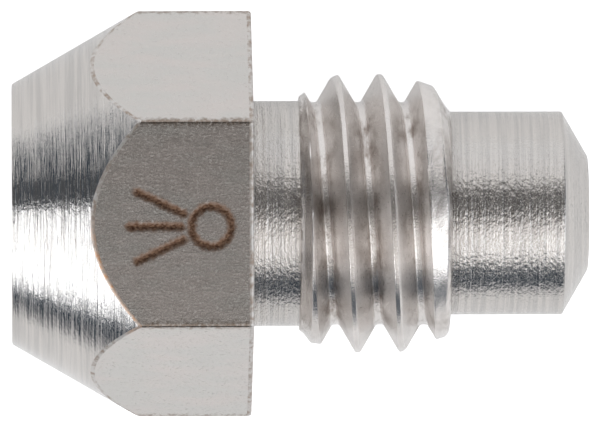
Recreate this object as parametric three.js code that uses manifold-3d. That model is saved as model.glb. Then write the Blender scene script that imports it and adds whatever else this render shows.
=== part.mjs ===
// A pressure-atomising oil burner nozzle with a screwed stem.
//
// Lengths are in millimetres. X is the nozzle's axis: the nose points to -X and the stem to +X. The origin
// is on the axis, in the plane of the hexagon's rear face, which seats against the holder. Z is square to
// the top flat of the hexagon, so the nozzle lies on its bottom flat.
//
// Oil comes in at the end of the stem, passes through the wall of the filter cup, and goes through the filter
// holder and the hollow lock screw to the grooves of the swirl distributor. The distributor's slots spin it
// into the chamber of the orifice disc, and it leaves through the nose as a hollow cone.

import * as THREE from 'three';
import { mergeVertices, toCreasedNormals } from 'three/addons/utils/BufferGeometryUtils.js';
import { ParametricGeometry } from 'three/addons/geometries/ParametricGeometry.js';
import Module from 'manifold-3d';

const wasm = await Module();
wasm.setup();

const degrees = Math.PI / 180;

// ---- Driving dimensions -------------------------------------------------------------------------------

// Thread form, shared by the stem and the lock screw
const flankAngle = 30 * degrees;
const crestShare = 1 / 8; // flat crest, as a share of the pitch
const depthShare = 0.64; // depth on the radius, as a share of the pitch

// Head: a hexagon bar turned to a cone at the nose
const hexAcrossFlats = 10;
const headLength = 6.8;
const noseFaceDiameter = 7.38;
const noseConeAngle = 60 * degrees; // included

// Stem: neck, M8 thread, pilot and end cone
const stemThread = { majorDiameter: 7.93, pitch: 1.25 };
const stemThreadLength = 4.32;
const stemThreadPhase = 1.15; // where the crest crosses the XY plane at +Y
const startChamfer = { length: 0.3, depth: 0.29 }; // next to the neck, the steep part
const startTaperLength = 0.85; // the gentle part that follows
const endTaper = { length: 1.35, depth: 0.44 }; // next to the pilot
const endFaceAngle = 12 * degrees; // of the thread's last face, from square to the axis
const rootRunOutAngle = 40 * degrees; // of the root's slope down to the pilot, from square to the axis
const neckLength = 1.33;
const neckStep = 0.03; // how far the neck stands above the thread's root
const pilotLength = 3.16;
const pilotStep = 0.28; // how far the pilot lies below the thread's root
const endConeAngle = 120 * degrees; // included
const endRingWidth = 0.2; // round the inlet

// Nose passage
const noseWall = 1.2; // from the nose face to the seat of the orifice disc
const sprayMouthDiameter = 3.4;
const sprayHoleDiameter = 1.2;

// Orifice disc
const discThickness = 1;
const discConeAngle = 120 * degrees; // included, shared with the distributor's tip
const discRim = 0.17; // round the swirl chamber
const orificeDiameter = 0.25;
const orificeLength = 0.25;

// Swirl distributor
const distributorSideLength = 1.6;
const distributorTipDiameter = 0.7;
const swirlSlotCount = 3;
const swirlSlot = { width: 0.2, depth: 0.13, offset: 0.22 };
const feedGrooveRadius = 0.24;

// Lock screw, M2.5
const lockThread = { majorDiameter: 2.5, pitch: 0.45 };
const lockThreadPhase = 0.1; // where the crest crosses the XY plane at +Y, from the screw's slotted end
const lockScrewLength = 1.8;
const lockScrewBore = 0.9;
const lockScrewRecess = 0.4; // from the slotted end to the step that the filter holder rests on
const driverSlot = { width: 0.35, depth: 0.45 };
const oilSlot = { width: 0.4, depth: 0.3 };
const tapRunOut = 0.45; // thread cut past the screw's front end

// Filter
const holderStepWidth = 0.1; // the step in the inlet bore that the holder rests on
const holderFlangeLength = 0.9;
const holderSpigotLength = 0.9;
const holderBore = 0.9;
const oilGap = 0.25; // between the cup and the inlet bore
const cupWall = 0.4;
const cupEndWall = 0.6;
const cupRecess = 0.8; // from the end of the stem to the cup's domed end

// Clearances, on the radius
const slidingClearance = 0.03;
const pressedClearance = 0.01;
const threadClearance = 0.04;
const passingClearance = 0.07; // of the lock screw in the plain hole behind its thread

// Facets round a full turn
const bodyFacets = 36;
const boreFacets = 20;
const grooveFacets = 12;
const domeSteps = 6;

// Making of the solids
const ridgeSink = 0.1; // how far a thread's ridge reaches into the core that it stands on
const overlap = 0.5; // how far a cutting tool runs past the face that it opens
const creaseAngle = 30 * degrees; // edges sharper than this are drawn sharp

// ---- Sizes that follow --------------------------------------------------------------------------------

const rootOf = ({ majorDiameter, pitch }) => majorDiameter - 2 * depthShare * pitch;

const stemRootDiameter = rootOf(stemThread);
const neckDiameter = stemRootDiameter + 2 * neckStep;
const pilotDiameter = stemRootDiameter - 2 * pilotStep;

const lockRootDiameter = rootOf(lockThread);
const tappingDiameter = lockRootDiameter + 2 * threadClearance; // one drilled hole, from the disc's seat back
const passingDiameter = lockThread.majorDiameter + 2 * passingClearance;
const inletDiameter = passingDiameter + 2 * holderStepWidth;
const endFaceDiameter = inletDiameter + 2 * endRingWidth;

const slidingDiameter = tappingDiameter - 2 * slidingClearance; // of the disc and the distributor
const discChamberDiameter = slidingDiameter - 2 * discRim;
const cupDiameter = inletDiameter - 2 * oilGap;
const cupHollowDiameter = cupDiameter - 2 * cupWall;
const spigotDiameter = cupHollowDiameter - 2 * pressedClearance;

// Places along the axis
const noseX = -headLength;
const threadStartX = neckLength;
const threadEndX = threadStartX + stemThreadLength;
const pilotEndX = threadEndX + pilotLength;
const stemEndX = pilotEndX + (pilotDiameter - endFaceDiameter) / 2 / Math.tan(endConeAngle / 2);

const discSeatX = noseX + noseWall;
const discRearX = discSeatX + discThickness;
const discConeSlope = Math.tan(discConeAngle / 2);
const distributorTipX = discRearX - (discChamberDiameter - distributorTipDiameter) / 2 / discConeSlope;
const distributorShoulderX = discRearX + discRim / discConeSlope;
const distributorRearX = distributorShoulderX + distributorSideLength;
const tapEndX = distributorRearX - tapRunOut;
const lockScrewRearX = distributorRearX + lockScrewLength;
const holderSeatX = lockScrewRearX + lockScrewRecess;
const holderShoulderX = holderSeatX + holderFlangeLength;
const cupEndX = stemEndX - cupRecess;

// ---- Tools for solids ---------------------------------------------------------------------------------

/** A closed three.js geometry as a solid: only positions are kept, and triangles with no area are dropped. */
function solid(geometry) {
  geometry.deleteAttribute('normal');
  geometry.deleteAttribute('uv');
  const merged = mergeVertices(geometry);
  const corners = merged.index.array;
  const kept = [];
  for (let i = 0; i < corners.length; i += 3) {
    const [a, b, c] = corners.slice(i, i + 3);
    if (a !== b && b !== c && c !== a) {
      kept.push(a, b, c);
    }
  }
  const vertProperties = new Float32Array(merged.attributes.position.array);
  return new wasm.Manifold(new wasm.Mesh({ numProp: 3, vertProperties, triVerts: new Uint32Array(kept) }));
}

/** A solid as a geometry whose normals are split along its edges. */
function geometryOf(shape) {
  const { vertProperties, triVerts } = shape.getMesh();
  const geometry = new THREE.BufferGeometry();
  geometry.setAttribute('position', new THREE.BufferAttribute(new Float32Array(vertProperties), 3));
  geometry.setIndex(Array.from(triVerts));
  return toCreasedNormals(geometry, creaseAngle);
}

/** A solid turned about the X axis, from [x, radius] points that run towards +X and end on the axis. */
function turned(points, facets) {
  const profile = points.map(([x, radius]) => new THREE.Vector2(radius, x));
  return solid(new THREE.LatheGeometry(profile, facets).rotateZ(-Math.PI / 2));
}

/** A plain cylinder on the X axis. */
function cylinder(fromX, toX, diameter, facets) {
  const radius = diameter / 2;
  return turned([[fromX, 0], [fromX, radius], [toX, radius], [toX, 0]], facets);
}

/** The ridge of a thread, as one helical bar whose two ends close to a point. */
function threadRidge({ pitch, majorDiameter }, growth, phase, fromX, toX, facets) {
  const firstStep = Math.floor(((fromX - phase) / pitch) * facets);
  const lastStep = Math.ceil(((toX - phase) / pitch) * facets);
  const crest = majorDiameter / 2 + growth;
  const base = crest - depthShare * pitch - ridgeSink;
  const halfCrest = (crestShare * pitch) / 2;
  const halfBase = halfCrest + (crest - base) * Math.tan(flankAngle);
  const section = [[halfBase, base], [halfCrest, crest], [-halfCrest, crest], [-halfBase, base]];
  const steps = lastStep - firstStep;

  const helix = (across, along, target) => {
    const isEnd = along === 0 || along === 1;
    const corner = Math.round(across * section.length) % section.length;
    const [offset, radius] = isEnd ? [0, base] : section[corner];
    const turns = (firstStep + Math.round(along * steps)) / facets;
    const angle = turns * 2 * Math.PI;
    target.set(phase + turns * pitch + offset, radius * Math.cos(angle), radius * Math.sin(angle));
  };
  return solid(new ParametricGeometry(helix, section.length, steps));
}

/** Copies of a solid, spaced evenly about the X axis. */
function aboutAxis(shape, count) {
  const copies = [];
  for (let i = 0; i < count; i += 1) {
    copies.push(shape.rotate([(i * 360) / count, 0, 0]));
  }
  return copies.reduce((all, copy) => all.add(copy));
}

function part(name, shape, color, roughness, metalness) {
  const material = new THREE.MeshStandardMaterial({ color, roughness, metalness });
  const mesh = new THREE.Mesh(geometryOf(shape), material);
  mesh.name = name;
  return mesh;
}

// ---- Nozzle body --------------------------------------------------------------------------------------

/** The hexagon, with the nose cone turned at its front. */
function head() {
  const cornerRadius = hexAcrossFlats / 2 / Math.cos(30 * degrees);
  const outerRadius = cornerRadius + overlap;
  const noseRadius = noseFaceDiameter / 2;
  const turning = turned([
    [noseX, 0],
    [noseX, noseRadius],
    [noseX + (outerRadius - noseRadius) / Math.tan(noseConeAngle / 2), outerRadius],
    [0, outerRadius],
    [0, 0],
  ], bodyFacets);
  const flatUp = Math.PI / 2;
  const hexagon = new THREE.CylinderGeometry(cornerRadius, cornerRadius, headLength, 6, 1, false, flatUp);
  hexagon.rotateZ(-Math.PI / 2).translate(-headLength / 2, 0, 0);
  return solid(hexagon).intersect(turning);
}

/** The stem without its thread: neck, thread core, pilot and end cone. */
function stemCore() {
  const core = stemRootDiameter / 2;
  const pilot = pilotDiameter / 2;
  return turned([
    [-overlap, 0],
    [-overlap, neckDiameter / 2],
    [threadStartX, neckDiameter / 2],
    [threadStartX, core],
    [threadEndX - pilotStep * Math.tan(rootRunOutAngle), core],
    [threadEndX, pilot],
    [pilotEndX, pilot],
    [stemEndX, endFaceDiameter / 2],
    [stemEndX, 0],
  ], bodyFacets);
}

/** The stem's thread, cut to its chamfered ends. */
function stemThreadSolid() {
  const major = stemThread.majorDiameter / 2;
  const pilot = pilotDiameter / 2;
  const startTaperX = threadStartX + startChamfer.length;
  const endTaperRadius = major - endTaper.depth;
  const endTaperX = threadEndX - (endTaperRadius - pilot) * Math.tan(endFaceAngle);
  const envelope = turned([
    [threadStartX, 0],
    [threadStartX, stemRootDiameter / 2],
    [startTaperX, major - startChamfer.depth],
    [startTaperX + startTaperLength, major],
    [endTaperX - endTaper.length, major],
    [endTaperX, endTaperRadius],
    [threadEndX, pilot],
    [threadEndX, 0],
  ], bodyFacets);
  const fromX = threadStartX - stemThread.pitch;
  const toX = threadEndX + stemThread.pitch;
  return threadRidge(stemThread, 0, stemThreadPhase, fromX, toX, bodyFacets).intersect(envelope);
}

/** What is drilled and tapped out of the body, from the spray mouth to the inlet. */
function passages() {
  const mouth = sprayMouthDiameter / 2;
  const hole = sprayHoleDiameter / 2;
  const drilled = turned([
    [noseX - overlap, 0],
    [noseX - overlap, mouth + overlap],
    [noseX + mouth - hole, hole],
    [discSeatX, hole],
    [discSeatX, tappingDiameter / 2],
    [lockScrewRearX, tappingDiameter / 2],
    [lockScrewRearX, passingDiameter / 2],
    [holderSeatX, passingDiameter / 2],
    [holderSeatX, inletDiameter / 2],
    [stemEndX + overlap, inletDiameter / 2],
    [stemEndX + overlap, 0],
  ], boreFacets);
  const phase = lockScrewRearX + lockThreadPhase;
  return drilled.add(threadRidge(lockThread, threadClearance, phase, tapEndX, holderSeatX, boreFacets));
}

function nozzleBody() {
  return head().add(stemCore()).add(stemThreadSolid()).subtract(passages());
}

// ---- Inner pieces -------------------------------------------------------------------------------------

/** Disc with a conical swirl chamber at its rear, the orifice, and a flared outlet at its front. */
function orificeDisc() {
  const orifice = orificeDiameter / 2;
  const chamberEndX = discRearX - (discChamberDiameter / 2 - orifice) / discConeSlope;
  const outletX = chamberEndX - orificeLength;
  const blank = cylinder(discSeatX, discRearX, slidingDiameter, boreFacets);
  const flow = turned([
    [discSeatX - overlap, 0],
    [discSeatX - overlap, orifice + outletX - discSeatX + overlap],
    [outletX, orifice],
    [chamberEndX, orifice],
    [discRearX + overlap, discChamberDiameter / 2 + overlap * discConeSlope],
    [discRearX + overlap, 0],
  ], boreFacets);
  return blank.subtract(flow);
}

/** One tangential slot across the distributor's cone, and the groove along its side that feeds the slot. */
function swirlCut() {
  const side = slidingDiameter / 2;
  const slot = new THREE.BoxGeometry(2 * swirlSlot.depth, 2 * side, swirlSlot.width);
  slot.translate(0, side, 0);
  slot.rotateZ(discConeAngle / 2 - Math.PI / 2);
  slot.translate(distributorTipX - distributorTipDiameter / 2 / discConeSlope, 0, swirlSlot.offset);

  const length = distributorRearX - distributorTipX;
  const groove = new THREE.CylinderGeometry(feedGrooveRadius, feedGrooveRadius, length, grooveFacets);
  groove.rotateZ(-Math.PI / 2);
  groove.translate(distributorShoulderX + length / 2, side, 0);
  groove.rotateX(Math.asin(swirlSlot.offset / side));
  return solid(slot).add(solid(groove));
}

/** Cone that seats in the disc's chamber and spins the oil. */
function swirlDistributor() {
  const blank = turned([
    [distributorTipX, 0],
    [distributorTipX, distributorTipDiameter / 2],
    [distributorShoulderX, slidingDiameter / 2],
    [distributorRearX, slidingDiameter / 2],
    [distributorRearX, 0],
  ], boreFacets);
  return blank.subtract(aboutAxis(swirlCut(), swirlSlotCount));
}

/** Hollow screw with a driver slot at the rear and a cross slot at the front that feeds the grooves. */
function lockScrew() {
  const { majorDiameter, pitch } = lockThread;
  const phase = lockScrewRearX + lockThreadPhase;
  const ridgeFromX = distributorRearX - pitch;
  const ridgeToX = lockScrewRearX + pitch;
  const ridge = threadRidge(lockThread, 0, phase, ridgeFromX, ridgeToX, boreFacets);
  const ends = cylinder(distributorRearX, lockScrewRearX, majorDiameter + overlap, boreFacets);
  const core = cylinder(distributorRearX, lockScrewRearX, lockRootDiameter, boreFacets);
  const bore = cylinder(distributorRearX - overlap, lockScrewRearX + overlap, lockScrewBore, boreFacets);
  const driver = new THREE.BoxGeometry(2 * driverSlot.depth, majorDiameter + overlap, driverSlot.width);
  const oil = new THREE.BoxGeometry(2 * oilSlot.depth, oilSlot.width, majorDiameter + overlap);
  return core.add(ridge.intersect(ends))
    .subtract(bore)
    .subtract(solid(driver.translate(lockScrewRearX, 0, 0)))
    .subtract(solid(oil.translate(distributorRearX, 0, 0)));
}

/** Flanged bush that rests on the step in the inlet bore and carries the filter cup on its spigot. */
function filterHolder() {
  const flange = inletDiameter / 2 - pressedClearance;
  const spigotEndX = holderShoulderX + holderSpigotLength;
  const blank = turned([
    [holderSeatX, 0],
    [holderSeatX, flange],
    [holderShoulderX, flange],
    [holderShoulderX, spigotDiameter / 2],
    [spigotEndX, spigotDiameter / 2],
    [spigotEndX, 0],
  ], boreFacets);
  return blank.subtract(cylinder(holderSeatX - overlap, spigotEndX + overlap, holderBore, boreFacets));
}

/** Porous thimble, open over the holder's spigot and domed towards the inlet. */
function filterCup() {
  const outer = cupDiameter / 2;
  const dome = [];
  for (let i = 0; i < domeSteps; i += 1) {
    const angle = (i / domeSteps) * 90 * degrees;
    dome.push([cupEndX - outer + outer * Math.sin(angle), outer * Math.cos(angle)]);
  }
  const blank = turned([[holderShoulderX, 0], [holderShoulderX, outer], ...dome, [cupEndX, 0]], boreFacets);
  const hollow = cylinder(holderShoulderX - overlap, cupEndX - cupEndWall, cupHollowDiameter, boreFacets);
  return blank.subtract(hollow);
}

// ---- Assembly -----------------------------------------------------------------------------------------

const nozzle = new THREE.Group();
nozzle.add(
  part('nozzle_body', nozzleBody(), 0xc9c5bf, 0.32, 1),
  part('orifice_disc', orificeDisc(), 0x9a9a9c, 0.25, 1),
  part('swirl_distributor', swirlDistributor(), 0xb4b4b6, 0.3, 1),
  part('lock_screw', lockScrew(), 0xa8a59c, 0.4, 1),
  part('filter_holder', filterHolder(), 0xc8a24a, 0.35, 1),
  part('filter_cup', filterCup(), 0x9c7348, 0.85, 0.8),
);

export default nozzle;
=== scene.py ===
"""Oil burner nozzle lying on one flat of its hexagon, seen from above on a pale light table.

Lengths are in millimetres and are turned into metres where a mesh, a light or a camera is made. The frame
is the CAD's: X is the nozzle's axis, with the nose at -X and the threaded stem at +X, and Z is square to
the top flat of the hexagon.
"""

import math

import bmesh
import bpy
import numpy as np
from mathutils import Matrix, Vector, noise


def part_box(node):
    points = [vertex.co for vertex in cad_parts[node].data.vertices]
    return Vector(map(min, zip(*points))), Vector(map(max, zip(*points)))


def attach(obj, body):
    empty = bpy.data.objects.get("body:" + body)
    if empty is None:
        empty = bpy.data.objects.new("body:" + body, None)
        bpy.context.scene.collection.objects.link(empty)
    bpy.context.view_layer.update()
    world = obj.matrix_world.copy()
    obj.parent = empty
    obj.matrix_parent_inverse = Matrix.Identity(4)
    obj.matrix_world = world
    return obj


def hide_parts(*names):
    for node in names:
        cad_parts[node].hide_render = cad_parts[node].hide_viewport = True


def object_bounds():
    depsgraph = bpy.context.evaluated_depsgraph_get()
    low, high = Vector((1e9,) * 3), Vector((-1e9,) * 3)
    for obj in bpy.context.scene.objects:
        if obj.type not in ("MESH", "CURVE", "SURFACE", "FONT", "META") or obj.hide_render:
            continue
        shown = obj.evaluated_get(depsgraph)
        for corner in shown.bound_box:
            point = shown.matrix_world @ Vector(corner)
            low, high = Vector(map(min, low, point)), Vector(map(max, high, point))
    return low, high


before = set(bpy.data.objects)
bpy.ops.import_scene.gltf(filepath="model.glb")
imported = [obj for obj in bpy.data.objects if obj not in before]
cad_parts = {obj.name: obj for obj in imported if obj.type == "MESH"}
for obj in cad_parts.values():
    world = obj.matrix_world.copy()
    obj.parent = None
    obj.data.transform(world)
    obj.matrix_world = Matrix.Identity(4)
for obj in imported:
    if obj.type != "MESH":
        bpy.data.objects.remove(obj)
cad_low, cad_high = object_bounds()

MM = 0.001
TURN = 2 * math.pi
DEGREES = math.pi / 180

# ---- Sizes of the body, as in the CAD ------------------------------------------------------------------

NOSE_X = cad_low.x / MM
STEM_END_X = cad_high.x / MM
HALF_FLATS = cad_high.z / MM
NOSE_RADIUS = 3.69
NOSE_SLOPE = math.tan(30 * DEGREES)
SPRAY_MOUTH_RADIUS = 1.7
SPRAY_HOLE_RADIUS = 0.6

NECK_RADIUS = 3.195
NECK_LENGTH = 1.33
STEM_THREAD = {"major": 3.965, "root": 3.165, "pitch": 1.25, "phase": 1.15}
THREAD_END_X = NECK_LENGTH + 4.32
PILOT_RADIUS = 2.885
PILOT_END_X = THREAD_END_X + 3.16
END_FACE_RADIUS = 1.62
INLET_RADIUS = 1.42

LOCK_THREAD = {"major": 1.25, "root": 0.962, "pitch": 0.45, "phase": 0.1}
TAP_CLEARANCE = 0.04
TAPPING_RADIUS = LOCK_THREAD["root"] + TAP_CLEARANCE
TAP_RUN_OUT = 0.45
PASSING_RADIUS = 1.32

FLANK_SLOPE = 1 / math.tan(30 * DEGREES)

# ---- Fine shape that the CAD leaves out ----------------------------------------------------------------

CORNER_RADIUS = 0.1  # of the hexagon's corners
TURNED_EDGE = 0.04  # radius of turned edges
ARC_EDGE = 0.06  # half width of the rounding where the cone cuts a flat
REAR_EDGE = 0.1  # of the hexagon's rear edge
FOOT_FILLET = 0.05  # where the neck meets the hexagon's rear face
FOOT_REACH = 0.12  # from the neck out to where the rear face's own rows end
BORE_EDGE = 0.02  # radius of edges in the bore
BESIDE_ROUNDING = 1.3  # where the row just outside a rounding lies, in radii of the rounding
JOIN = 0.1  # from a corner to where two strips of rows meet
SHARP_ANGLE = 40 * DEGREES
LEAD_IN_SLOPE = 1.5  # of the small threads' ends

STEM_ROUNDS = {"crest_half": 0.06, "crest": 0.04, "root": 0.09, "rows": 32}
LOCK_ROUNDS = {"crest_half": 0.028, "crest": 0.02, "root": 0.03, "rows": 14}

TOP_COLUMNS, SIDE_COLUMNS, FLAT_ROWS = 120, 20, 100
CONE, FLAT, EDGE, STEM, THREADED, BORE = range(6)


# ---- Meshes --------------------------------------------------------------------------------------------


def new_object(name, data):
    made = bpy.data.objects.new(name, data)
    bpy.context.scene.collection.objects.link(made)
    return made


class Surface:
    """Strips of quads between rows of points round the X axis, welded into one closed mesh."""

    def __init__(self, angles):
        self.angles = angles
        self.points = []
        self.faces = []
        self.materials = []

    def add(self, rows, material=0, angles=None):
        """rows is a list of (x, radius): numbers, or arrays with one value for each angle."""
        closed = angles is None
        angles = self.angles if closed else angles
        count = len(angles)
        start = len(self.points)
        for x, radius in rows:
            x = np.broadcast_to(x, count)
            radius = np.broadcast_to(radius, count)
            self.points += list(zip(x, radius * np.cos(angles), radius * np.sin(angles)))
        for row in range(len(rows) - 1):
            low, high = start + row * count, start + (row + 1) * count
            for here in range(count if closed else count - 1):
                there = (here + 1) % count
                self.faces.append((low + here, low + there, high + there, high + here))
                self.materials.append(material)

    def mesh(self, name):
        mesh = bpy.data.meshes.new(name)
        mesh.from_pydata(np.array(self.points) * MM, [], self.faces)
        mesh.polygons.foreach_set("material_index", self.materials)
        shape = bmesh.new()
        shape.from_mesh(mesh)
        bmesh.ops.remove_doubles(shape, verts=shape.verts, dist=1e-4 * MM)
        bmesh.ops.recalc_face_normals(shape, faces=shape.faces)
        for face in shape.faces:
            face.smooth = True
        shape.to_mesh(mesh)
        shape.free()
        mesh.set_sharp_from_angle(angle=SHARP_ANGLE)
        return mesh


def full_circle(count):
    return np.arange(count) * TURN / count


def rounded(corners, radius, steps=5):
    """Rows along a profile with rounded inner corners, and one more row just outside each rounding."""
    rows = [corners[0]]
    for before, corner, after in zip(corners, corners[1:], corners[2:]):
        before, corner, after = (np.array(point, float) for point in (before, corner, after))
        length_in = np.linalg.norm(before - corner)
        length_out = np.linalg.norm(after - corner)
        into, out = (before - corner) / length_in, (after - corner) / length_out
        reach = min(radius, length_in / 3, length_out / 3)
        rows.append(tuple(corner + into * reach * BESIDE_ROUNDING))
        for step in range(steps + 1):
            share = step / steps
            rows.append(tuple(corner + into * reach * (1 - share) ** 2 + out * reach * share**2))
        rows.append(tuple(corner + out * reach * BESIDE_ROUNDING))
    rows.append(corners[-1])
    return rows


def soft_min(a, b, reach):
    """The lower of two values, with the corner between them rounded."""
    share = np.clip(0.5 + 0.5 * (b - a) / reach, 0, 1)
    return b * (1 - share) + a * share - reach * share * (1 - share)


def soft_max(a, b, reach):
    return -soft_min(-a, -b, reach)


def ridge(thread, rounds, x, turned, growth=0.0):
    """Radius of a thread's rounded ridge at x, where the crest has moved on by turned turns."""
    pitch = thread["pitch"]
    from_crest = x - thread["phase"] - pitch * turned
    away = np.abs((from_crest + pitch / 2) % pitch - pitch / 2)
    crest = thread["major"] + growth
    flank = crest - (away - rounds["crest_half"]) * FLANK_SLOPE
    return soft_min(flank, np.full_like(flank, crest), rounds["crest"])


def helix_rows(angles, thread, rounds, start, end, radius_at):
    """Rows that follow a thread's helix. radius_at takes x and the turns made at each angle."""
    turned = angles / TURN
    advance = thread["pitch"] * (turned - turned[0])
    step = thread["pitch"] / rounds["rows"]
    count = math.ceil((end - start + thread["pitch"]) / step)
    rows = []
    for row in range(count + 1):
        x = np.clip(start - thread["pitch"] + row * step + advance, start, end)
        rows.append((x, radius_at(x, turned)))
    return rows


# ---- Nozzle body ---------------------------------------------------------------------------------------


def hexagon_outline():
    """Angles and radii of the hexagon's outline, with more points on the top flat."""
    half_width = HALF_FLATS * math.tan(30 * DEGREES) - CORNER_RADIUS * math.tan(30 * DEGREES)
    corner_centre = (HALF_FLATS - CORNER_RADIUS) / math.cos(30 * DEGREES)
    support = 0.03
    corner_steps = 4
    angles, radii = [], []
    for flat in range(6):
        middle = (90 + 60 * flat) * DEGREES
        count = TOP_COLUMNS if flat == 0 else SIDE_COLUMNS
        inner = np.linspace(-half_width + support, half_width - support, count)
        for across in [-half_width, *inner, half_width]:
            angles.append(middle + math.atan2(across, HALF_FLATS))
            radii.append(math.hypot(across, HALF_FLATS))
        corner = middle + 30 * DEGREES
        for step in range(1, corner_steps):
            turned = middle + 60 * DEGREES * step / corner_steps - corner
            along = corner_centre + CORNER_RADIUS * math.cos(turned)
            across = CORNER_RADIUS * math.sin(turned)
            angles.append(corner + math.atan2(across, along))
            radii.append(math.hypot(across, along))
    return np.array(angles), np.array(radii)


def cone_rows(hexagon):
    """The nose cone up to the roundings where it cuts the flats."""
    cut_x = NOSE_X + (hexagon - NOSE_RADIUS) / NOSE_SLOPE
    start = NOSE_X + BESIDE_ROUNDING * TURNED_EDGE * math.cos(30 * DEGREES)
    rows = []
    for share in np.linspace(0, 1, 16):
        x = start + (cut_x - ARC_EDGE - start) * share
        rows.append((x, NOSE_RADIUS + (x - NOSE_X) * NOSE_SLOPE))
    return rows


def arc_rows(hexagon):
    """The rounding from the cone into the flats."""
    cut_x = NOSE_X + (hexagon - NOSE_RADIUS) / NOSE_SLOPE
    rows = []
    for across in np.linspace(-1, 1, 9):
        rows.append((cut_x + across * ARC_EDGE, hexagon - NOSE_SLOPE * ARC_EDGE * (1 - across) ** 2 / 4))
    return rows


def flat_rows(hexagon):
    """The flats, from their rounded front to the rounding at the rear."""
    start = NOSE_X + (hexagon - NOSE_RADIUS) / NOSE_SLOPE + ARC_EDGE
    end = -BESIDE_ROUNDING * REAR_EDGE
    shares = np.concatenate([[0, 0.004], np.linspace(0.012, 1, FLAT_ROWS)])
    return [(start + (end - start) * share, hexagon) for share in shares]


def rear_edge_rows(hexagon):
    rows = [(-BESIDE_ROUNDING * REAR_EDGE, hexagon)]
    for share in np.linspace(0, 1, 7):
        rows.append((-REAR_EDGE * (1 - share) ** 2, hexagon - REAR_EDGE * share**2))
    rows.append((0.0, hexagon - BESIDE_ROUNDING * REAR_EDGE))
    return rows


def rear_face_rows(hexagon):
    outer = hexagon - BESIDE_ROUNDING * REAR_EDGE
    inner = NECK_RADIUS + FOOT_REACH
    return [(0.0, outer + (inner - outer) * share) for share in np.linspace(0, 1, 8)]


def stem_blank(x):
    """Radius of the turned blank that the stem's thread is cut into."""
    profile = [
        (NECK_LENGTH, NECK_RADIUS),
        (NECK_LENGTH + 0.02, 3.33),
        (NECK_LENGTH + 0.13, 3.40),
        (NECK_LENGTH + 0.34, 3.675),
        (NECK_LENGTH + 0.61, 3.715),
        (NECK_LENGTH + 1.17, STEM_THREAD["major"]),
        (THREAD_END_X - 1.48, STEM_THREAD["major"]),
        (THREAD_END_X - 0.56, 3.64),
        (THREAD_END_X - 0.16, 3.52),
        (THREAD_END_X - 0.05, 3.38),
        (THREAD_END_X, PILOT_RADIUS),
    ]
    return np.interp(x, [point[0] for point in profile], [point[1] for point in profile])


RUN_OUT_SLOPE = 1.2
FADE_START = 0.1
FADE_LENGTH = 0.25


def stem_thread_radius(x, turned):
    """Radius of the stem's thread. A ridge whose crest would lie past the thread's end fades out."""
    half_pitch = STEM_THREAD["pitch"] / 2
    run_out = PILOT_RADIUS + (THREAD_END_X - x) * RUN_OUT_SLOPE
    floor = np.minimum(STEM_THREAD["root"], run_out)
    from_crest = x - STEM_THREAD["phase"] - STEM_THREAD["pitch"] * turned
    crest_x = x - (from_crest + half_pitch) % (2 * half_pitch)
    past_end = np.clip((crest_x + half_pitch - THREAD_END_X - FADE_START) / FADE_LENGTH, 0, 1)
    cut_ridge = ridge(STEM_THREAD, STEM_ROUNDS, x, turned)
    cut_ridge = cut_ridge + (floor - STEM_ROUNDS["root"] - cut_ridge) * past_end
    radius = soft_max(cut_ridge, floor, STEM_ROUNDS["root"])
    radius = soft_min(radius, stem_blank(x), STEM_ROUNDS["crest"])
    radius = np.where(x <= NECK_LENGTH, NECK_RADIUS, radius)
    return np.where(x >= THREAD_END_X, PILOT_RADIUS, radius)


def bore_rows():
    """Profile points of the passage on both sides of the tapped hole, from the inlet to the spray mouth."""
    holder_seat_x = span("filter_holder")[0]
    disc_seat_x = span("orifice_disc")[0]
    screw_front_x, screw_rear_x = span("lock_screw")[:2]
    behind = [
        (STEM_END_X, INLET_RADIUS),
        (holder_seat_x, INLET_RADIUS),
        (holder_seat_x, PASSING_RADIUS),
        (screw_rear_x, PASSING_RADIUS),
    ]
    ahead = [
        (screw_front_x - TAP_RUN_OUT, TAPPING_RADIUS),
        (disc_seat_x, TAPPING_RADIUS),
        (disc_seat_x, SPRAY_HOLE_RADIUS),
        (NOSE_X + SPRAY_MOUTH_RADIUS - SPRAY_HOLE_RADIUS, SPRAY_HOLE_RADIUS),
        (NOSE_X, SPRAY_MOUTH_RADIUS),
        (NOSE_X, SPRAY_MOUTH_RADIUS + JOIN),
    ]
    return rounded(behind, BORE_EDGE, 2), rounded(ahead, BORE_EDGE, 2)


def tapped_rows(angles):
    """The thread in the body that holds the lock screw, from its rear to its front."""
    screw_front_x, screw_rear_x = span("lock_screw")[:2]
    front_x = screw_front_x - TAP_RUN_OUT
    thread = {**LOCK_THREAD, "phase": screw_rear_x + LOCK_THREAD["phase"]}

    def radius_at(x, turned):
        cut_ridge = ridge(thread, LOCK_ROUNDS, x, turned, TAP_CLEARANCE)
        radius = soft_max(cut_ridge, TAPPING_RADIUS, LOCK_ROUNDS["root"])
        radius = np.minimum(radius, TAPPING_RADIUS + LEAD_IN_SLOPE * (x - front_x))
        return np.where(x >= screw_rear_x, PASSING_RADIUS, np.where(x <= front_x, TAPPING_RADIUS, radius))

    return helix_rows(angles, thread, LOCK_ROUNDS, front_x, screw_rear_x, radius_at)[::-1]


def span(node):
    """Where a CAD node starts and ends along the axis, and its radius, in mm."""
    low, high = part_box(node)
    return low.x / MM, high.x / MM, high.z / MM


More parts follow.
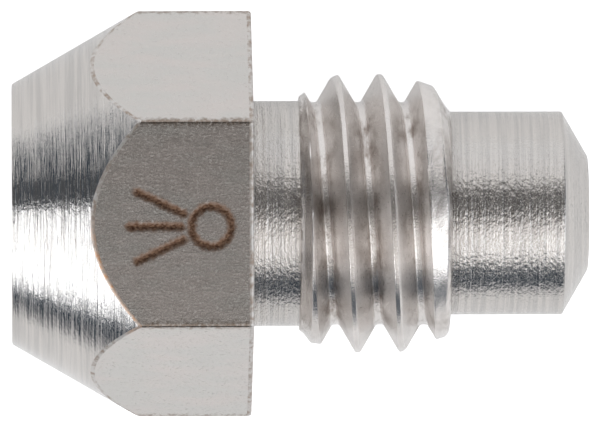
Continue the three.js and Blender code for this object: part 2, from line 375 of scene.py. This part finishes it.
def nozzle_body():
    angles, hexagon = hexagon_outline()
    helix_angles = np.append(angles, angles[0] + TURN)
    behind, ahead = bore_rows()
    surface = Surface(angles)
    cone_start = (NOSE_X + JOIN, NOSE_RADIUS + JOIN * NOSE_SLOPE)
    nose = rounded([ahead[-1], (NOSE_X, NOSE_RADIUS), cone_start], TURNED_EDGE)
    surface.add(nose[:-1], CONE)
    surface.add([nose[-2], *cone_rows(hexagon)], CONE)
    surface.add(arc_rows(hexagon), EDGE)
    surface.add(flat_rows(hexagon), FLAT)
    surface.add(rear_edge_rows(hexagon), EDGE)
    surface.add(rear_face_rows(hexagon), STEM)
    foot = [(0.0, NECK_RADIUS + FOOT_REACH), (0.0, NECK_RADIUS), (NECK_LENGTH, NECK_RADIUS)]
    surface.add(rounded(foot, FOOT_FILLET), STEM)
    thread = helix_rows(
        helix_angles, STEM_THREAD, STEM_ROUNDS, NECK_LENGTH, THREAD_END_X, stem_thread_radius
    )
    surface.add(thread, THREADED, helix_angles)
    stem = [
        (THREAD_END_X, PILOT_RADIUS),
        (PILOT_END_X, PILOT_RADIUS),
        (STEM_END_X, END_FACE_RADIUS),
        (STEM_END_X, INLET_RADIUS),
    ]
    surface.add(rounded(stem, TURNED_EDGE), STEM)
    surface.add(behind, BORE)
    surface.add(tapped_rows(helix_angles), BORE, helix_angles)
    surface.add(ahead, BORE)
    mesh = surface.mesh("nozzle_body_fine")
    mark_body(mesh)
    return new_object("nozzle_body_fine", mesh)


# ---- The mark on the top flat: a ring with three rays, for a nozzle and its spray ------------------------

MARK_CENTRE = (-1.2, -0.08)
MARK_RING = 0.56
MARK_RAYS = [(angle * DEGREES, 0.86, 2.3) for angle in (155, 180, 205)]
MARK_HALF_WIDTH = 0.07
MARK_DEPTH = 0.012
MARK_EDGE = 0.03  # half the width of the groove's sloping side
FLAT_TOLERANCE = 0.001
OFF_THE_FLAT = 9  # mark_distance of points that aren't on the top flat


def distance_to_mark(x, y):
    """How far each point of the top flat is from the middle of the mark's nearest line."""
    x, y = x - MARK_CENTRE[0], y - MARK_CENTRE[1]
    nearest = np.abs(np.hypot(x, y) - MARK_RING)
    for angle, start, end in MARK_RAYS:
        along = x * math.cos(angle) + y * math.sin(angle)
        across = y * math.cos(angle) - x * math.sin(angle)
        past = np.maximum(np.maximum(start - along, along - end), 0)
        nearest = np.minimum(nearest, np.hypot(across, past))
    return nearest


def mark_body(mesh):
    """Sinks the mark into the top flat, and keeps the distances at each point that the finishes go by."""
    points = np.empty(len(mesh.vertices) * 3, np.float32)
    mesh.vertices.foreach_get("co", points)
    points = points.reshape(-1, 3)
    x, y, z = points.T / MM
    distance = distance_to_mark(x, y)
    on_top = (z > HALF_FLATS - FLAT_TOLERANCE) & (x < -REAR_EDGE)
    depth = np.clip((MARK_HALF_WIDTH + MARK_EDGE - distance) / (2 * MARK_EDGE), 0, 1)
    depth = MARK_DEPTH * depth * depth * (3 - 2 * depth)
    points[:, 2] -= np.where(on_top, depth, 0) * MM
    mesh.vertices.foreach_set("co", points.ravel())
    keep_values(mesh, "mark_distance", np.where(on_top, distance, OFF_THE_FLAT))
    radius = np.hypot(y, z)
    from_corner = np.abs((np.arctan2(z, y) / DEGREES + 30) % 60 - 30) * DEGREES
    keep_values(mesh, "corner_distance", from_corner * radius)
    keep_values(mesh, "below_crest", stem_blank(x) - radius)
    keep_values(mesh, "above_root", radius - STEM_THREAD["root"])


def keep_values(mesh, name, values):
    kept = mesh.attributes.new(name, "FLOAT", "POINT")
    kept.data.foreach_set("value", np.asarray(values, np.float32))


# ---- Inner pieces --------------------------------------------------------------------------------------


def turned_piece(name, corners, edge=0.03, columns=96):
    """A lathe piece from a closed profile, or from one that starts and ends on the axis."""
    surface = Surface(full_circle(columns))
    if corners[0][1] > 0:
        corners = [*corners, corners[0]]
    surface.add(rounded(corners, edge, 3))
    return new_object(name, surface.mesh(name))


def block(size, place):
    """A cutting box. place is the matrix that puts it, centred on the origin, where it cuts."""
    shape = bmesh.new()
    bmesh.ops.create_cube(shape, size=1)
    bmesh.ops.transform(shape, matrix=Matrix.Diagonal((*size, 1)), verts=shape.verts)
    return cutter(shape, place)


def rod(radius, length, place):
    """A cutting cylinder along X. place is the matrix that puts it where it cuts."""
    shape = bmesh.new()
    bmesh.ops.create_cone(
        shape, cap_ends=True, segments=32, radius1=radius, radius2=radius, depth=length,
        matrix=Matrix.Rotation(90 * DEGREES, 4, "Y"),
    )
    return cutter(shape, place)


def cutter(shape, place):
    mesh = bpy.data.meshes.new("cutter")
    bmesh.ops.transform(shape, matrix=Matrix.Scale(MM, 4) @ place, verts=shape.verts)
    shape.to_mesh(mesh)
    shape.free()
    return new_object("cutter", mesh)


def cut(piece, cutters):
    """Takes the cutters out of the piece and removes them."""
    for tool in cutters:
        modifier = piece.modifiers.new("cut", "BOOLEAN")
        modifier.operation = "DIFFERENCE"
        modifier.solver = "EXACT"
        modifier.object = tool
    done = piece.evaluated_get(bpy.context.evaluated_depsgraph_get())
    mesh = bpy.data.meshes.new_from_object(done)
    piece.modifiers.clear()
    piece.data = mesh
    for tool in cutters:
        bpy.data.objects.remove(tool)
    for face in mesh.polygons:
        face.use_smooth = True
    mesh.set_sharp_from_angle(angle=SHARP_ANGLE)
    return piece


SWIRL_CONE_SLOPE = math.tan(60 * DEGREES)
CHAMBER_RADIUS = 0.802
ORIFICE_RADIUS = 0.125
ORIFICE_LENGTH = 0.25
DISC_FACE_START = 0.75  # a radius on the front face, where the profile starts


def orifice_disc():
    seat_x, rear_x, radius = span("orifice_disc")
    chamber_end_x = rear_x - (CHAMBER_RADIUS - ORIFICE_RADIUS) / SWIRL_CONE_SLOPE
    outlet_x = chamber_end_x - ORIFICE_LENGTH
    return turned_piece("orifice_disc_fine", [
        (seat_x, DISC_FACE_START),
        (seat_x, ORIFICE_RADIUS + outlet_x - seat_x),
        (outlet_x, ORIFICE_RADIUS),
        (chamber_end_x, ORIFICE_RADIUS),
        (rear_x, CHAMBER_RADIUS),
        (rear_x, radius),
        (seat_x, radius),
    ], edge=0.02)


SWIRL_SLOT = {"width": 0.2, "depth": 0.13, "offset": 0.22}
TIP_RADIUS = 0.35
FEED_GROOVE_RADIUS = 0.24


def swirl_distributor():
    """Cone and cylinder with three tangential slots and the grooves that feed them."""
    tip_x, rear_x, radius = span("swirl_distributor")
    shoulder_x = tip_x + (radius - TIP_RADIUS) / SWIRL_CONE_SLOPE
    piece = turned_piece("swirl_distributor_fine", [
        (tip_x, 0.0), (tip_x, TIP_RADIUS), (shoulder_x, radius), (rear_x, radius), (rear_x, 0.0),
    ], edge=0.02)
    apex_x = tip_x - TIP_RADIUS / SWIRL_CONE_SLOPE
    length = rear_x - tip_x
    cutters = []
    for copy in range(3):
        turned = Matrix.Rotation(copy * TURN / 3, 4, "X")
        slot_place = (
            turned
            @ Matrix.Translation((apex_x, 0, SWIRL_SLOT["offset"]))
            @ Matrix.Rotation(-30 * DEGREES, 4, "Z")
            @ Matrix.Translation((0, radius, 0))
        )
        cutters.append(block((2 * SWIRL_SLOT["depth"], 2 * radius, SWIRL_SLOT["width"]), slot_place))
        groove_turn = Matrix.Rotation(math.asin(SWIRL_SLOT["offset"] / radius), 4, "X")
        groove_place = turned @ groove_turn @ Matrix.Translation((shoulder_x + length / 2, radius, 0))
        cutters.append(rod(FEED_GROOVE_RADIUS, length, groove_place))
    return cut(piece, cutters)


LOCK_BORE_RADIUS = 0.45
DRIVER_SLOT = {"width": 0.35, "depth": 0.45}
OIL_SLOT = {"width": 0.4, "depth": 0.3}
SCREW_END = 0.02  # from each end face to where the thread starts
SCREW_EDGE = 0.015


def lock_screw():
    """Hollow screw, threaded all along, with a slot across each end."""
    front_x, rear_x, radius = span("lock_screw")
    thread = {**LOCK_THREAD, "phase": rear_x + LOCK_THREAD["phase"]}
    start, end = front_x + SCREW_END, rear_x - SCREW_END

    def radius_at(x, turned):
        depth = soft_max(ridge(thread, LOCK_ROUNDS, x, turned), LOCK_THREAD["root"], LOCK_ROUNDS["root"])
        nearest_end = np.minimum(x - front_x, rear_x - x)
        return np.minimum(depth, LOCK_THREAD["root"] + nearest_end * LEAD_IN_SLOPE)

    angles = full_circle(96)
    surface = Surface(angles)
    helix_angles = np.append(angles, TURN)
    rows = helix_rows(helix_angles, thread, LOCK_ROUNDS, start, end, radius_at)
    surface.add(rows, 0, helix_angles)
    end_radius = LOCK_THREAD["root"] + SCREW_END * LEAD_IN_SLOPE
    surface.add(rounded([
        (end, end_radius),
        (rear_x, LOCK_THREAD["root"]),
        (rear_x, LOCK_BORE_RADIUS),
        (front_x, LOCK_BORE_RADIUS),
        (front_x, LOCK_THREAD["root"]),
        (start, end_radius),
    ], SCREW_EDGE, 2))
    piece = new_object("lock_screw_fine", surface.mesh("lock_screw_fine"))
    across = 3 * radius
    return cut(piece, [
        block((2 * DRIVER_SLOT["depth"], across, DRIVER_SLOT["width"]), Matrix.Translation((rear_x, 0, 0))),
        block((2 * OIL_SLOT["depth"], OIL_SLOT["width"], across), Matrix.Translation((front_x, 0, 0))),
    ])


HOLDER_BORE_RADIUS = 0.45
SPIGOT_RADIUS = 0.76
HOLDER_FACE_START = 0.9  # a radius on the seat face, where the profile starts


def filter_holder():
    seat_x, end_x, radius = span("filter_holder")
    shoulder_x = span("filter_cup")[0]
    return turned_piece("filter_holder_fine", [
        (seat_x, HOLDER_FACE_START),
        (seat_x, radius),
        (shoulder_x, radius),
        (shoulder_x, SPIGOT_RADIUS),
        (end_x, SPIGOT_RADIUS),
        (end_x, HOLDER_BORE_RADIUS),
        (seat_x, HOLDER_BORE_RADIUS),
    ], edge=0.05)


CUP_HOLLOW_RADIUS = 0.77
CUP_END_WALL = 0.6
GRAIN_SIZE = 0.11
GRAIN_RELIEF = 0.018
CUP_ROW_STEP = 0.035
CUP_LIP = 0.05
SKIN_TOLERANCE = 0.01


def filter_cup():
    """Thimble of sintered grains, with the grains raised on its outside and its domed end."""
    mouth_x, end_x, radius = span("filter_cup")
    skin = radius - GRAIN_RELIEF
    dome_x = end_x - radius
    side = [(x, skin) for x in np.arange(mouth_x + CUP_LIP, dome_x, CUP_ROW_STEP)]
    dome = []
    for angle in np.linspace(0, 90, 48) * DEGREES:
        dome.append((dome_x + skin * math.sin(angle), skin * math.cos(angle)))
    inside = [
        (mouth_x, skin - CUP_LIP),
        (mouth_x, CUP_HOLLOW_RADIUS),
        (end_x - CUP_END_WALL, CUP_HOLLOW_RADIUS),
        (end_x - CUP_END_WALL, 0.0),
    ]
    surface = Surface(full_circle(180))
    surface.add([*inside[::-1], *side, *dome[:-1], (dome_x + skin, 0.0)])
    mesh = surface.mesh("filter_cup_fine")
    for vertex in mesh.vertices:
        outward = Vector((max(vertex.co.x - dome_x * MM, 0), vertex.co.y, vertex.co.z))
        if outward.length > (skin - SKIN_TOLERANCE) * MM:
            gap = noise.voronoi(vertex.co / (GRAIN_SIZE * MM))[0][0]
            vertex.co += outward.normalized() * GRAIN_RELIEF * MM * (1 - min(gap, 1)) ** 0.5
    return new_object("filter_cup_fine", mesh)


# ---- Materials -----------------------------------------------------------------------------------------


class Material:
    """A node material, with short calls for the nodes that the finishes below are made of."""

    def __init__(self, name, **sockets):
        self.material = bpy.data.materials.new(name)
        self.material.use_nodes = True
        self.tree = self.material.node_tree
        self.shader = self.tree.nodes["Principled BSDF"]
        self.place = self.tree.nodes.new("ShaderNodeTexCoord").outputs["Object"]
        for socket, value in sockets.items():
            self.shader.inputs[socket.replace("_", " ")].default_value = value

    def node(self, kind, inputs, outlet=0, **settings):
        """A new node's output. inputs maps a socket's name or number to a value or to another output."""
        made = self.tree.nodes.new("ShaderNode" + kind)
        for setting, value in settings.items():
            setattr(made, setting, value)
        for name, value in inputs.items():
            if isinstance(value, bpy.types.NodeSocket):
                self.tree.links.new(value, made.inputs[name])
            else:
                made.inputs[name].default_value = value
        return made.outputs[outlet]

    def noise(self, per_mm, detail=2.0, roughness=0.5, shift=(0, 0, 0)):
        """Noise with its own number of features per millimetre along X, Y and Z."""
        scale = [count / MM for count in per_mm]
        where = self.node("Mapping", {"Vector": self.place, "Scale": scale, "Location": shift})
        inputs = {"Vector": where, "Scale": 1.0, "Detail": detail, "Roughness": roughness}
        return self.node("TexNoise", inputs)

    def kept(self, name):
        """A value that the mesh keeps at each point."""
        return self.node("Attribute", {}, 2, attribute_name=name)

    def ramp(self, value, low, high, to_low=0.0, to_high=1.0):
        return self.node("MapRange", {0: value, 1: low, 2: high, 3: to_low, 4: to_high})

    def mix(self, share, a, b):
        return self.node("Mix", {0: share, 6: a, 7: b}, 2, data_type="RGBA")

    def maths(self, operation, a, b):
        return self.node("Math", {0: a, 1: b}, operation=operation)

    def along(self, axis):
        """Where a point lies along an axis, in mm."""
        part = self.node("SeparateXYZ", {0: self.place}, axis)
        return self.maths("MULTIPLY", part, 1 / MM)

    def bump(self, height, depth, under=None):
        """Relief of a depth in mm, on top of other relief."""
        inputs = {"Height": height, "Distance": depth * MM, "Strength": 1.0}
        if under is not None:
            inputs["Normal"] = under
        return self.node("Bump", inputs)

    def finish(self, **outputs):
        for socket, value in outputs.items():
            self.tree.links.new(value, self.shader.inputs[socket.replace("_", " ")])
        return self.material


NICKEL = (0.585, 0.555, 0.53, 1)
NICKEL_SHADE = (0.34, 0.33, 0.325, 1)
BURNT = (0.085, 0.042, 0.026, 1)
BURNT_BRIGHT = (0.30, 0.19, 0.13, 1)
BURNT_EDGE = (0.30, 0.215, 0.17, 1)
PLATE = (0.558, 0.54, 0.518, 1)
PLATE_SMEAR = (0.585, 0.546, 0.523, 1)
CORNER_STAIN = (0.27, 0.22, 0.185, 1)
EDGE_PLATE = (0.60, 0.575, 0.555, 1)
EDGE_STAIN = (0.36, 0.295, 0.25, 1)
HEATED_EDGE = (0.50, 0.30, 0.19, 1)
SATIN = (0.73, 0.69, 0.665, 1)
SATIN_SHADE = (0.62, 0.585, 0.56, 1)
THREAD_DARKER = (0.27, 0.22, 0.19, 1)
BRONZE = (0.46, 0.27, 0.13, 1)
BRONZE_BRIGHT = (0.58, 0.38, 0.20, 1)
# painted shade for the pores between the sintered grains
PAINTED_PORE_SHADE = (0.07, 0.04, 0.025, 1)


def turned_nickel(name, groove_depth, grit_depth, smooth, rough):
    """Nickel plate over the fine grooves that a lathe tool leaves round the axis."""
    made = Material(name, Metallic=1.0, Anisotropic=0.3)
    fine = made.noise((9, 0.13, 0.13), 4.0, 0.75)
    coarse = made.noise((4.0, 0.12, 0.12), 2.0, 0.6, (7, 0, 0))
    grit = made.noise((13, 7, 7), 3.0, 0.6, (0, 3, 0))
    patches = made.noise((17, 9, 9), 3.0, 0.7, (0, 0, 8))
    relief = made.bump(fine, groove_depth)
    relief = made.bump(coarse, 1.3 * groove_depth, relief)
    relief = made.bump(grit, grit_depth, relief)
    tint = made.mix(made.ramp(fine, 0.4, 0.58), NICKEL_SHADE, NICKEL)
    return made.finish(
        Base_Color=made.mix(0.4, NICKEL, tint),
        Roughness=made.ramp(patches, 0.38, 0.62, smooth, rough),
        Normal=relief,
        Tangent=made.node("Tangent", {}, direction_type="RADIAL", axis="X"),
    )


def flat_nickel():
    """Plate on drawn hexagon bar, with matt specks, and heat tints round the mark and the corners."""
    made = Material("flat_nickel", Metallic=1.0)
    specks = made.noise((11, 16, 16), 4.0, 0.8, (0, 5, 0))
    smears = made.noise((0.5, 1.3, 1.3), 3.0, 0.6, (3, 0, 0))
    haze = made.noise((1.8, 3.2, 3.2), 5.0, 0.8, (6, 1, 0))
    ragged = made.noise((8, 8, 8), 3.0, 0.65, (2, 2, 2))
    relief = made.bump(made.noise((0.8, 9, 9), 3.0, 0.6), 0.0012)
    relief = made.bump(specks, 0.0048, relief)
    plain = made.mix(made.ramp(smears, 0.4, 0.6), PLATE, PLATE_SMEAR)
    raggedness = made.ramp(ragged, 0.3, 0.7, -0.045, 0.045)
    mark = made.maths("ADD", made.kept("mark_distance"), raggedness)
    burnt = made.mix(made.ramp(specks, 0.42, 0.6), BURNT, BURNT_BRIGHT)
    marked = made.mix(made.ramp(mark, 0.1, 0.19), BURNT_EDGE, plain)
    marked = made.mix(made.ramp(mark, 0.06, 0.085), burnt, marked)
    corner = made.maths("ADD", made.kept("corner_distance"), made.ramp(ragged, 0.3, 0.7, -0.1, 0.1))
    hazed = made.ramp(haze, 0.36, 0.68, 0.0, 0.1)
    speck_share = made.maths("ADD", made.ramp(specks, 0.56, 0.72, 0.0, 0.6), hazed)
    rough_mark = made.ramp(mark, 0.06, 0.2, 0.3, 0.155)
    return made.finish(
        Base_Color=made.mix(made.ramp(corner, 0.0, 0.16), CORNER_STAIN, marked),
        Roughness=made.maths("ADD", speck_share, rough_mark),
        Normal=relief,
    )


# Where the heat of marking has tinted the edge: from none to all of it, in mm along each axis.
HEATED_X = (-1, -2)
HEATED_Y = (0.4, -0.6)
HEATED_Z = (4.5, 4.8)


def edge_nickel():
    """Burnished plate with brown stains, on the edges where the cone and the rear face meet the flats."""
    made = Material("edge_nickel", Metallic=1.0)
    stains = made.noise((5, 5, 5), 4.0, 0.7)
    stained = made.mix(made.ramp(stains, 0.44, 0.62), EDGE_PLATE, EDGE_STAIN)
    on_top = made.ramp(made.along(2), *HEATED_Z)
    in_front = made.ramp(made.along(0), *HEATED_X)
    on_one_side = made.ramp(made.along(1), *HEATED_Y)
    near_mark = made.maths("MULTIPLY", made.maths("MULTIPLY", on_top, in_front), on_one_side)
    heated = made.maths("MULTIPLY", near_mark, made.ramp(stains, 0.58, 0.42))
    return made.finish(
        Base_Color=made.mix(heated, stained, HEATED_EDGE),
        Roughness=made.ramp(stains, 0.3, 0.7, 0.32, 0.45),
        Normal=made.bump(made.noise((15, 15, 15), 3.0, 0.7), 0.014),
    )


def threaded_nickel():
    """Satin flanks with the tool's chatter and a blotchy tone on them, in patches darker towards the roots;
    glossy crests and grainy, glossy roots.
    """
    made = Material("threaded_nickel", Metallic=0.92)
    chatter = made.noise((20, 1.0, 1.0), 3.0, 0.6)
    grain = made.noise((17, 17, 17), 3.0, 0.7, (4, 0, 0))
    stains = made.noise((1.8, 0.8, 0.8), 4.0, 0.65, (0, 6, 0))
    crest = made.ramp(made.kept("below_crest"), 0.015, 0.05, 1.0, 0.0)
    root = made.ramp(made.kept("above_root"), 0.03, 0.08, 1.0, 0.0)
    glossy = made.maths("MAXIMUM", crest, root)
    low_down = made.ramp(made.kept("above_root"), 0.6, 0.1)
    # patches of a darker colour, growing towards the thread's roots
    darker_towards_roots = made.maths("MULTIPLY", made.ramp(stains, 0.5, 0.68), low_down)
    satin = made.mix(made.ramp(stains, 0.35, 0.65), SATIN, SATIN_SHADE)
    relief = made.bump(made.maths("MULTIPLY", grain, glossy), 0.011, made.bump(chatter, 0.004))
    return made.finish(
        Base_Color=made.mix(darker_towards_roots, satin, THREAD_DARKER),
        Roughness=made.node("Mix", {0: glossy, 2: made.ramp(grain, 0.3, 0.7, 0.24, 0.4), 3: 0.08}),
        Normal=relief,
    )


def bored_metal(name, dark, light, ring_depth, roughness):
    """Metal that was drilled, turned or ground inside, with rings round the axis."""
    made = Material(name, Metallic=1.0)
    rings = made.noise((14, 0.6, 0.6), 3.0, 0.6)
    grain = made.noise((16, 16, 16), 2.0, 0.6, (5, 0, 0))
    return made.finish(
        Base_Color=made.mix(made.ramp(rings, 0.3, 0.7), dark, light),
        Roughness=made.ramp(grain, 0.3, 0.7, roughness, roughness * 1.6),
        Normal=made.bump(grain, ring_depth / 4, made.bump(rings, ring_depth)),
    )


def sintered_bronze():
    """Porous bronze: painted shade between the grains, for the depth of the real pores, and worn brighter
    on top of them.
    """
    made = Material("sintered_bronze", Metallic=0.85)
    grain_scale = 1 / (GRAIN_SIZE * MM)
    grains = made.node("TexVoronoi", {"Vector": made.place, "Scale": grain_scale})
    tarnish = made.noise((3, 3, 3), 3.0, 0.6)
    worn = made.mix(made.ramp(tarnish, 0.35, 0.65), BRONZE, BRONZE_BRIGHT)
    return made.finish(
        # painted shade: the gaps between the grains are darkened for the depth of the pores
        Base_Color=made.mix(made.ramp(grains, 0.35, 0.75), worn, PAINTED_PORE_SHADE),
        Roughness=made.ramp(grains, 0.2, 0.8, 0.4, 0.9),
        Normal=made.bump(made.noise((30, 30, 30)), 0.004),
    )


# ---- The assembly --------------------------------------------------------------------------------------


def show(piece, node, slot, *materials):
    """The piece stands for a CAD node, rides where it does and wears these materials."""
    for material in materials:
        piece.data.materials.append(material)
    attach(piece, "root")
    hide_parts(node)


body_finishes = [
    turned_nickel("turned_cone", 0.024, 0.007, 0.07, 0.18),
    flat_nickel(),
    edge_nickel(),
    turned_nickel("turned_stem", 0.030, 0.028, 0.06, 0.22),
    threaded_nickel(),
    bored_metal("drilled_steel", (0.24, 0.22, 0.21, 1), (0.46, 0.44, 0.42, 1), 0.008, 0.3),
]
stainless = bored_metal("turned_stainless", (0.42, 0.42, 0.42, 1), (0.56, 0.56, 0.55, 1), 0.004, 0.22)
lapped = bored_metal("lapped_steel", (0.36, 0.36, 0.37, 1), (0.46, 0.46, 0.47, 1), 0.002, 0.18)
brass = bored_metal("turned_brass", (0.62, 0.42, 0.16, 1), (0.80, 0.60, 0.28, 1), 0.006, 0.22)

show(nozzle_body(), "nozzle_body", "plated_steel", *body_finishes)
show(orifice_disc(), "orifice_disc", "hardened_steel", lapped)
show(swirl_distributor(), "swirl_distributor", "stainless_steel", stainless)
show(lock_screw(), "lock_screw", "stainless_steel", stainless)
show(filter_holder(), "filter_holder", "brass", brass)
show(filter_cup(), "filter_cup", "sintered_bronze", sintered_bronze())


# ---- Floor, light and camera ---------------------------------------------------------------------------


FLOOR_RADIUS = 700
FLOOR_WHITE = (0.8, 0.8, 0.8, 1)
FLOOR_DARK = (0.05, 0.065, 0.09, 1)
FLOOR_GLOW = 0.8
FLOOR_GLOW_ON_METAL = 0.3
FLOOR_LIT_TOWARDS = (0.6, 0.8, 0)
FLOOR_LIT_FROM = (-48, -36)


def light_table():
    """Pale floor under the nozzle, lit from below.

    The camera sees it evenly white. For everything else it is dark past a slanting line on the side of -X
    and -Y, so that the metal has something dark to reflect.
    """
    mesh = bpy.data.meshes.new("floor")
    shape = bmesh.new()
    bmesh.ops.create_circle(shape, cap_ends=True, segments=96, radius=FLOOR_RADIUS * MM)
    shape.to_mesh(mesh)
    shape.free()
    floor = new_object("floor", mesh)
    floor.location.z = cad_low.z
    made = Material("pale_floor", Roughness=0.9)
    made.shader.inputs["Specular IOR Level"].default_value = 0.0
    made.shader.inputs["Emission Color"].default_value = (1, 1, 1, 1)
    towards = {0: made.place, 1: FLOOR_LIT_TOWARDS}
    inward = made.node("VectorMath", towards, "Value", operation="DOT_PRODUCT")
    near = made.ramp(inward, FLOOR_LIT_FROM[0] * MM, FLOOR_LIT_FROM[1] * MM)
    glow = made.maths("MULTIPLY", near, FLOOR_GLOW_ON_METAL)
    seen = made.node("LightPath", {}, "Is Camera Ray")
    lit = made.maths("MAXIMUM", seen, near)
    mesh.materials.append(made.finish(
        Base_Color=made.mix(lit, FLOOR_DARK, FLOOR_WHITE),
        Emission_Strength=made.node("Mix", {0: seen, 2: glow, 3: FLOOR_GLOW}),
    ))


LAMP_DISTANCE = 260


def softbox(name, azimuth, height, size, radiance, colour=(1, 1, 1)):
    """Rectangular light aimed at the nozzle. The size is two angles, across and up, all in degrees."""
    distance = LAMP_DISTANCE * MM
    lamp = bpy.data.lights.new(name, "AREA")
    lamp.shape = "RECTANGLE"
    lamp.size, lamp.size_y = (2 * distance * math.tan(side / 2 * DEGREES) for side in size)
    lamp.energy = radiance * math.pi * lamp.size * lamp.size_y
    lamp.color = colour
    light = new_object(name, lamp)
    a, h = azimuth * DEGREES, height * DEGREES
    towards = Vector((math.cos(a) * math.cos(h), math.sin(a) * math.cos(h), math.sin(h)))
    light.location = towards * distance
    light.rotation_euler = towards.to_track_quat("Z", "Y").to_euler()
    light.visible_camera = False


ROOM_LOW = (0.045, 0.075, 0.11, 1)
ROOM_HIGH = (0.15, 0.14, 0.132, 1)


def surroundings():
    """White to the camera. To everything else a dim room, bluish low down and warmer overhead."""
    world = bpy.data.worlds.new("studio")
    bpy.context.scene.world = world
    world.use_nodes = True
    nodes, links = world.node_tree.nodes, world.node_tree.links
    nodes.clear()
    seen = nodes.new("ShaderNodeBackground")
    seen.inputs["Color"].default_value = (1, 1, 1, 1)
    height = nodes.new("ShaderNodeSeparateXYZ")
    links.new(nodes.new("ShaderNodeTexCoord").outputs["Generated"], height.inputs[0])
    colour = nodes.new("ShaderNodeValToRGB")
    colour.color_ramp.elements[0].color = ROOM_LOW
    colour.color_ramp.elements[1].color = ROOM_HIGH
    links.new(height.outputs["Z"], colour.inputs[0])
    dim = nodes.new("ShaderNodeBackground")
    links.new(colour.outputs[0], dim.inputs["Color"])
    path = nodes.new("ShaderNodeLightPath")
    mix = nodes.new("ShaderNodeMixShader")
    output = nodes.new("ShaderNodeOutputWorld")
    links.new(path.outputs["Is Camera Ray"], mix.inputs[0])
    links.new(dim.outputs[0], mix.inputs[1])
    links.new(seen.outputs[0], mix.inputs[2])
    links.new(mix.outputs[0], output.inputs[0])


FIELD_WIDTH = 17.03
AIM = (1.383, 0, 0)
LEAN_X, LEAN_Y, ROLL = -1.18 * DEGREES, 3.2 * DEGREES, 0.15 * DEGREES


def camera():
    """Long lens almost straight above, leaning a little towards -X and +Y."""
    lens = bpy.data.cameras.new("camera")
    lens.lens = 820
    lens.sensor_width = 36
    lens.clip_start = 10 * MM
    lens.clip_end = 2
    distance = FIELD_WIDTH * lens.lens / lens.sensor_width
    towards = Vector((math.tan(LEAN_X), math.tan(LEAN_Y), 1)).normalized()
    right = Vector((math.cos(ROLL), -math.sin(ROLL), 0))
    up = towards.cross(right).normalized()
    right = up.cross(towards)
    eye = new_object("camera", lens)
    turned = Matrix((right, up, towards)).transposed().to_4x4()
    eye.matrix_world = Matrix.Translation((Vector(AIM) + towards * distance) * MM) @ turned
    bpy.context.scene.camera = eye


light_table()
surroundings()
softbox("upper_softbox", 91, 25, (88, 62), 0.97)
softbox("lower_softbox", 272, 57, (90, 50), 0.8, (1.0, 0.98, 0.96))
softbox("nose_softbox", 203, 20, (50, 34), 2.9, (0.94, 0.97, 1.0))
softbox("stem_softbox", 335, 36, (56, 46), 1.7, (0.92, 0.96, 1.0))
camera()
bpy.context.scene.view_settings.view_transform = "Standard"
